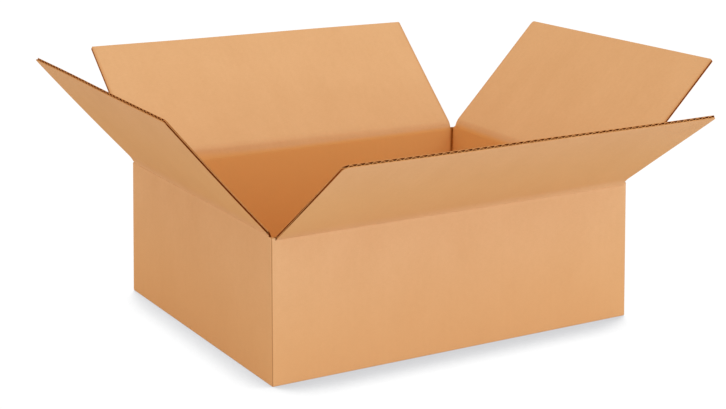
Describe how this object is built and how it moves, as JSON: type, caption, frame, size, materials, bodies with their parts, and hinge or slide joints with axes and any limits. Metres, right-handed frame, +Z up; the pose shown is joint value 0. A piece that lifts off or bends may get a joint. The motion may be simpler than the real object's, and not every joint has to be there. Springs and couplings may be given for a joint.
{
  "type": "open corrugated box",
  "caption": "Shallow rectangular carton of brown fluted board, folded and glued shut below and open above, with creased top flaps that lean outward and fold down to close it.",
  "frame": {"origin": "middle of the underside, on the surface that the carton stands on", "axes": "+X along the long walls to the right, +Y to the back wall, +Z up through the open top"},
  "size_m": [0.7144, 0.6477, 0.3022],
  "materials": {
    "kraft_board": "matt brown kraft liner"
  },
  "bodies": {
    "carton": {"carton": "kraft_board"},
    "front_flap": {"front_flap": "kraft_board"},
    "back_flap": {"back_flap": "kraft_board"},
    "left_flap": {"left_flap": "kraft_board"},
    "right_flap": {"right_flap": "kraft_board"}
  },
  "joints": [
    {"name": "front_crease", "type": "hinge", "parent": "carton", "child": "front_flap", "pos_m": [0, -0.182, 0.16], "axis": [1, 0, 0], "range_deg": [-143.9, 96.1]},
    {"name": "back_crease", "type": "hinge", "parent": "carton", "child": "back_flap", "pos_m": [0, 0.182, 0.16], "axis": [-1, 0, 0], "range_deg": [-138.8, 101.2]},
    {"name": "left_crease", "type": "hinge", "parent": "carton", "child": "left_flap", "pos_m": [-0.2325, 0, 0.164], "axis": [0, -1, 0], "range_deg": [-131.7, 108.3]},
    {"name": "right_crease", "type": "hinge", "parent": "carton", "child": "right_flap", "pos_m": [0.2325, 0, 0.164], "axis": [0, 1, 0], "range_deg": [-135, 105]}
  ]
}
